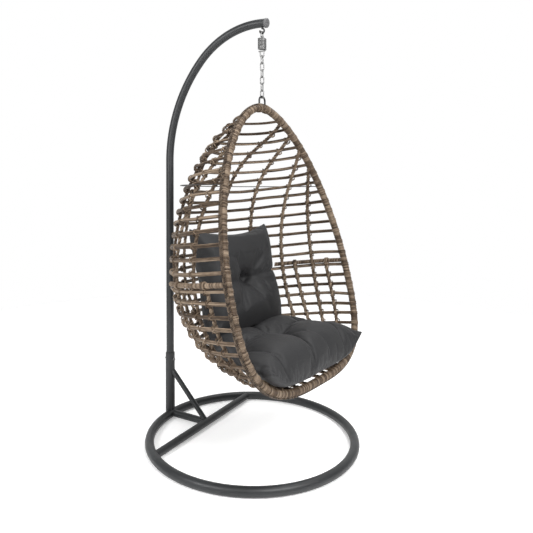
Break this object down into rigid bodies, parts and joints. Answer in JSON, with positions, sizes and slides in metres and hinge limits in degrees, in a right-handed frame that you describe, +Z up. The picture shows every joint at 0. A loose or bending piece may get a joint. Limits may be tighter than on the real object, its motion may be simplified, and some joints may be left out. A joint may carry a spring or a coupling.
{
  "type": "hanging egg chair",
  "caption": "Egg-shaped wicker basket seat with cushions, hung by a spring and a chain from a bent steel mast on a ring base.",
  "frame": {"origin": "on the floor, at the centre of the base ring", "axes": "+Z up, -Y towards the open front of the basket, the mast stands at +Y"},
  "size_m": [1.01, 1.0203, 1.9761],
  "materials": {
    "stand_steel": "charcoal powder coat, satin",
    "zinc_steel": "zinc plated",
    "zinc_bolt": "zinc plated",
    "black_steel": "black enamel",
    "cap_plastic": "moulded, matt",
    "stay_steel": "dark brown enamel",
    "wicker": "mottled grey-brown synthetic rattan over a wire frame",
    "cushion_fabric": "charcoal woven polyester"
  },
  "bodies": {
    "stand": {"base_ring": "stand_steel", "base_crossbar": "stand_steel", "base_spur": "stand_steel", "post_sleeve": "stand_steel", "post_brace": "stand_steel", "mast_arm": "stand_steel", "sleeve_bolt": "zinc_bolt", "sleeve_nut": "zinc_bolt", "arm_end_cap": "cap_plastic", "arm_hook": "black_steel"},
    "spring": {"spring_top_loop": "zinc_steel", "spring_coil": "zinc_steel"},
    "lower_hook": {"spring_bottom_hook": "zinc_steel"},
    "chain": {"chain_link_1": "zinc_steel", "chain_link_2": "zinc_steel", "chain_link_3": "zinc_steel", "chain_link_4": "zinc_steel", "chain_link_5": "zinc_steel"},
    "swivel_link": {"chain_link_6": "zinc_steel"},
    "basket": {"basket_eye": "black_steel", "basket_rim": "wicker", "basket_hoop_1": "wicker", "basket_hoop_2": "wicker", "basket_hoop_3": "wicker", "basket_hoop_4": "wicker", "basket_hoop_5": "wicker", "basket_hoop_6": "wicker", "basket_hoop_7": "wicker", "basket_hoop_8": "wicker", "basket_hoop_9": "wicker", "basket_hoop_10": "wicker", "basket_hoop_11": "wicker", "basket_hoop_12": "wicker", "basket_hoop_13": "wicker", "basket_hoop_14": "wicker", "basket_hoop_15": "wicker", "basket_hoop_16": "wicker", "basket_hoop_17": "wicker", "basket_hoop_18": "wicker", "basket_hoop_19": "wicker", "basket_hoop_20": "wicker", "basket_hoop_21": "wicker", "basket_hoop_22": "wicker", "basket_hoop_23": "wicker", "basket_hoop_24": "wicker", "rib_left_outer": "wicker", "rib_left_side": "wicker", "rib_left_back": "wicker", "rib_left_middle": "wicker", "rib_right_middle": "wicker", "rib_right_back": "wicker", "rib_right_side": "wicker", "rib_right_outer": "wicker", "short_ribs_left": "wicker", "short_ribs_right": "wicker", "armrest_left": "wicker", "armrest_right": "wicker", "stay_wire": "stay_steel", "seat_cushion": "cushion_fabric", "back_cushion": "cushion_fabric"}
  },
  "joints": [
    {"name": "spring_swing", "type": "hinge", "parent": "stand", "child": "spring", "pos_m": [0, -0.055, 1.91597], "axis": [1, 0, 0], "range_deg": [-20, 3.5]},
    {"name": "spring_stretch", "type": "slide", "parent": "spring", "child": "lower_hook", "axis": [0, 0, -1], "range_m": [0, 0.03], "stiffness_N_per_m": 25000, "springref_m": -0.012, "deforming": ["spring_coil"]},
    {"name": "chain_sway", "type": "hinge", "parent": "lower_hook", "child": "chain", "pos_m": [0, -0.055, 1.79787], "axis": [0, 1, 0], "range_deg": [-15, 15]},
    {"name": "basket_swivel", "type": "hinge", "parent": "chain", "child": "swivel_link", "pos_m": [0, -0.055, 1.64272], "axis": [0, 0, 1], "range_deg": [-15, 15]},
    {"name": "basket_nod", "type": "hinge", "parent": "swivel_link", "child": "basket", "pos_m": [0, -0.055, 1.61542], "axis": [0.9925, -0.1219, 0], "range_deg": [-8, 3]}
  ]
}
